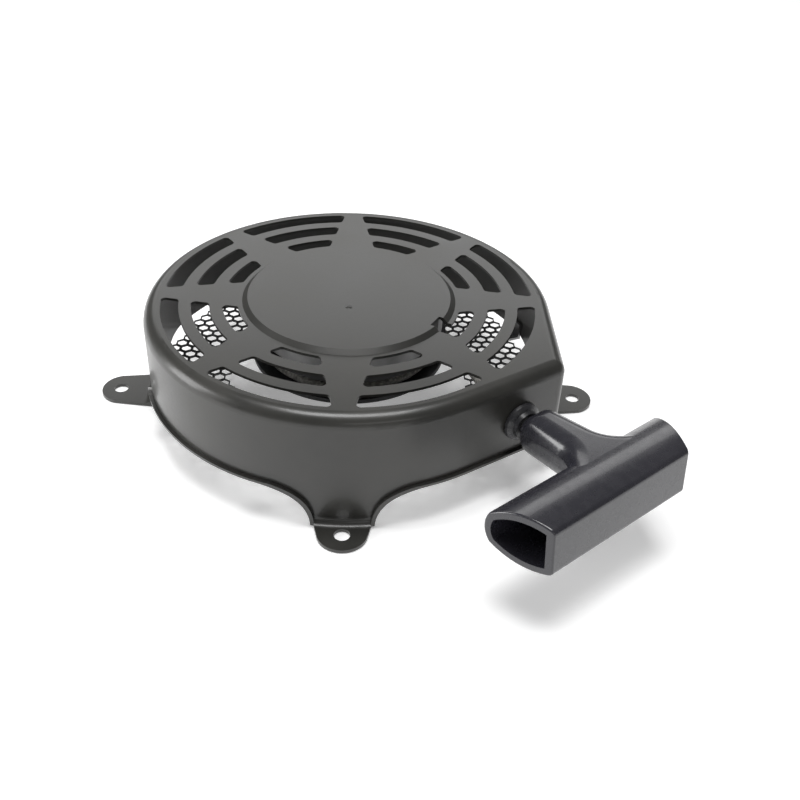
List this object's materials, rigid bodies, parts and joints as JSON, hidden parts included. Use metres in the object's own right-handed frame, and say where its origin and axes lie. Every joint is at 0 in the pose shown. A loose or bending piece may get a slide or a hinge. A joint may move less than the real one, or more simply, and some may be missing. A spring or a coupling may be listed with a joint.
{
  "type": "recoil starter",
  "caption": "Hand pull starter: vented round pressed housing with ears, spring-loaded rope pulley, swinging pawls, rope eyelet and hollow T grip",
  "frame": {"origin": "the housing's centre axis in the plane of the ears' undersides", "axes": "+Z along the centre axis towards the vented face, +X towards the right ear, -Y towards the front ear, with the rope outlet between +X and -Y"},
  "size_m": [0.2473, 0.25, 0.0567],
  "materials": {
    "housing": "satin",
    "steel": "satin",
    "zinc": "satin",
    "spring_steel": "satin",
    "pulley": "matte",
    "rope": "braided",
    "eyelet": "gloss",
    "pawl": "satin",
    "screen": "satin",
    "grip": "gloss"
  },
  "bodies": {
    "housing_body": {"centre_post": "steel", "centre_screw": "zinc", "debris_screen": "screen", "eyelet_ring": "eyelet", "friction_spring": "spring_steel", "housing": "housing", "retainer_washer": "steel", "rewind_spring": "spring_steel", "rope_eyelet": "eyelet", "rope_run": "rope", "screen_clip_1": "steel", "screen_clip_2": "steel", "screen_clip_3": "steel", "screen_clip_4": "steel", "spring_cup": "steel", "thrust_washer": "steel"},
    "pulley_body": {"pulley": "pulley", "rope_wound": "rope", "rope_knot_pulley": "rope", "pawl_pivot_a": "steel", "pawl_pivot_b": "steel", "pawl_spring_a": "spring_steel", "pawl_spring_b": "spring_steel"},
    "plate": {"pawl_plate": "steel"},
    "pawl_a_body": {"pawl_a": "pawl"},
    "pawl_b_body": {"pawl_b": "pawl"},
    "handle": {"grip": "grip", "grip_insert": "zinc", "rope_knot_grip": "rope", "rope_draw": "rope"}
  },
  "joints": [
    {"name": "pulley_spin", "type": "hinge", "parent": "housing_body", "child": "pulley_body", "pos_m": [0, 0, 0.0339], "axis": [0, 0, -1], "range_deg": [0, 1800], "stiffness_Nm_per_rad": 0.01, "springref_deg": -859.44, "deforming": ["rewind_spring"]},
    {"name": "handle_pull", "type": "slide", "parent": "housing_body", "child": "handle", "axis": [0.6121, -0.7834, 0.108], "range_m": [0, 1.04], "deforming": ["rope_draw"]},
    {"name": "plate_lag", "type": "hinge", "parent": "pulley_body", "child": "plate", "pos_m": [0, 0, 0.0172], "axis": [0, 0, 1], "range_deg": [0, 30], "stiffness_Nm_per_rad": 0.002, "springref_deg": -11.46},
    {"name": "pawl_a_swing", "type": "hinge", "parent": "pulley_body", "child": "pawl_a_body", "pos_m": [0.01, 0.01732, 0.0274], "axis": [0, 0, 1], "range_deg": [0, 32]},
    {"name": "pawl_b_swing", "type": "hinge", "parent": "pulley_body", "child": "pawl_b_body", "pos_m": [-0.01, -0.01732, 0.0274], "axis": [0, 0, 1], "range_deg": [0, 32]}
  ],
  "couplings": [
    {"joint": "handle_pull", "follows": "pulley_spin", "m_per_rad": 0.033},
    {"joint": "pawl_a_swing", "follows": "plate_lag", "ratio": 1.0667},
    {"joint": "pawl_b_swing", "follows": "plate_lag", "ratio": 1.0667}
  ]
}
